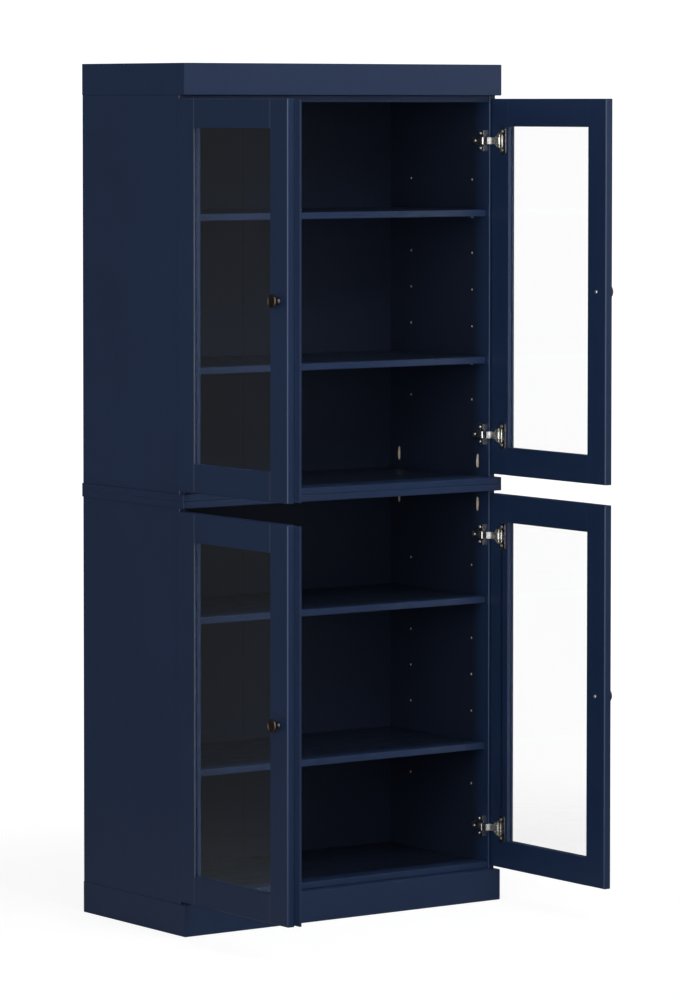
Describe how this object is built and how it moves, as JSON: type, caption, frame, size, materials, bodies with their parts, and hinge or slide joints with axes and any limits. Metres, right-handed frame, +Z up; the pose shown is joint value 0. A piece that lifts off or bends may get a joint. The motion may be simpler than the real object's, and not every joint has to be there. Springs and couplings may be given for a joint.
{
  "type": "bookcase with doors",
  "caption": "Tall two-part bookcase in dark blue paint: stacked cases with adjustable shelves behind framed glass doors on concealed hinges, with a box crown and a plinth.",
  "frame": {"origin": "on the floor, under the middle of the plinth's front board", "axes": "+Z up, +X to the right seen from the front, +Y from the front to the back"},
  "size_m": [0.913, 0.8125, 1.88],
  "materials": {
    "navy_painted_wood": "satin",
    "clear_glass": "polished",
    "aged_bronze": "satin",
    "nickel_steel": "polished",
    "zinc_steel": "satin"
  },
  "bodies": {
    "cabinet": {"back_rails": "navy_painted_wood", "cabinet_screws": "zinc_steel", "crown_front": "navy_painted_wood", "crown_left": "navy_painted_wood", "crown_right": "navy_painted_wood", "crown_top": "navy_painted_wood", "hinge_arms": "nickel_steel", "hinge_plates": "nickel_steel", "lower_back_panel": "navy_painted_wood", "lower_bottom_panel": "navy_painted_wood", "lower_left_side": "navy_painted_wood", "lower_right_side": "navy_painted_wood", "lower_top_board": "navy_painted_wood", "plinth_front": "navy_painted_wood", "plinth_left": "navy_painted_wood", "plinth_right": "navy_painted_wood", "shelf_pins": "zinc_steel", "upper_back_panel": "navy_painted_wood", "upper_bottom_board": "navy_painted_wood", "upper_left_side": "navy_painted_wood", "upper_right_side": "navy_painted_wood", "upper_top_panel": "navy_painted_wood"},
    "lower_left_door": {"lower_left_door_bottom_rail": "navy_painted_wood", "lower_left_door_free_stile": "navy_painted_wood", "lower_left_door_glass": "clear_glass", "lower_left_door_hinge_cups": "nickel_steel", "lower_left_door_hinge_stile": "navy_painted_wood", "lower_left_door_knob": "aged_bronze", "lower_left_door_meeting_lath": "navy_painted_wood", "lower_left_door_screws": "zinc_steel", "lower_left_door_top_rail": "navy_painted_wood"},
    "lower_right_door": {"lower_right_door_bottom_rail": "navy_painted_wood", "lower_right_door_free_stile": "navy_painted_wood", "lower_right_door_glass": "clear_glass", "lower_right_door_hinge_cups": "nickel_steel", "lower_right_door_hinge_stile": "navy_painted_wood", "lower_right_door_knob": "aged_bronze", "lower_right_door_screws": "zinc_steel", "lower_right_door_top_rail": "navy_painted_wood"},
    "lower_shelf_low_body": {"lower_shelf_low": "navy_painted_wood"},
    "lower_shelf_high_body": {"lower_shelf_high": "navy_painted_wood"},
    "upper_left_door": {"upper_left_door_bottom_rail": "navy_painted_wood", "upper_left_door_free_stile": "navy_painted_wood", "upper_left_door_glass": "clear_glass", "upper_left_door_hinge_cups": "nickel_steel", "upper_left_door_hinge_stile": "navy_painted_wood", "upper_left_door_knob": "aged_bronze", "upper_left_door_meeting_lath": "navy_painted_wood", "upper_left_door_screws": "zinc_steel", "upper_left_door_top_rail": "navy_painted_wood"},
    "upper_right_door": {"upper_right_door_bottom_rail": "navy_painted_wood", "upper_right_door_free_stile": "navy_painted_wood", "upper_right_door_glass": "clear_glass", "upper_right_door_hinge_cups": "nickel_steel", "upper_right_door_hinge_stile": "navy_painted_wood", "upper_right_door_knob": "aged_bronze", "upper_right_door_screws": "zinc_steel", "upper_right_door_top_rail": "navy_painted_wood"},
    "upper_shelf_low_body": {"upper_shelf_low": "navy_painted_wood"},
    "upper_shelf_high_body": {"upper_shelf_high": "navy_painted_wood"}
  },
  "joints": [
    {"name": "lower_left_door_swing", "type": "hinge", "parent": "cabinet", "child": "lower_left_door", "pos_m": [-0.41275, 0.00675, 0.497], "axis": [0, 0, -1], "range_deg": [-90, 5]},
    {"name": "lower_right_door_swing", "type": "hinge", "parent": "cabinet", "child": "lower_right_door", "pos_m": [0.41275, 0.00675, 0.497], "axis": [0, 0, 1], "range_deg": [-90, 5]},
    {"name": "upper_left_door_swing", "type": "hinge", "parent": "cabinet", "child": "upper_left_door", "pos_m": [-0.41275, 0.00675, 1.383], "axis": [0, 0, -1], "range_deg": [-90, 5]},
    {"name": "upper_right_door_swing", "type": "hinge", "parent": "cabinet", "child": "upper_right_door", "pos_m": [0.41275, 0.00675, 1.383], "axis": [0, 0, 1], "range_deg": [-90, 5]},
    {"name": "lower_shelf_low_lift", "type": "slide", "parent": "cabinet", "child": "lower_shelf_low_body", "axis": [0, 0, 1], "range_m": [0, 0.05]},
    {"name": "lower_shelf_high_lift", "type": "slide", "parent": "cabinet", "child": "lower_shelf_high_body", "axis": [0, 0, 1], "range_m": [0, 0.05]},
    {"name": "upper_shelf_low_lift", "type": "slide", "parent": "cabinet", "child": "upper_shelf_low_body", "axis": [0, 0, 1], "range_m": [0, 0.05]},
    {"name": "upper_shelf_high_lift", "type": "slide", "parent": "cabinet", "child": "upper_shelf_high_body", "axis": [0, 0, 1], "range_m": [0, 0.05]}
  ]
}
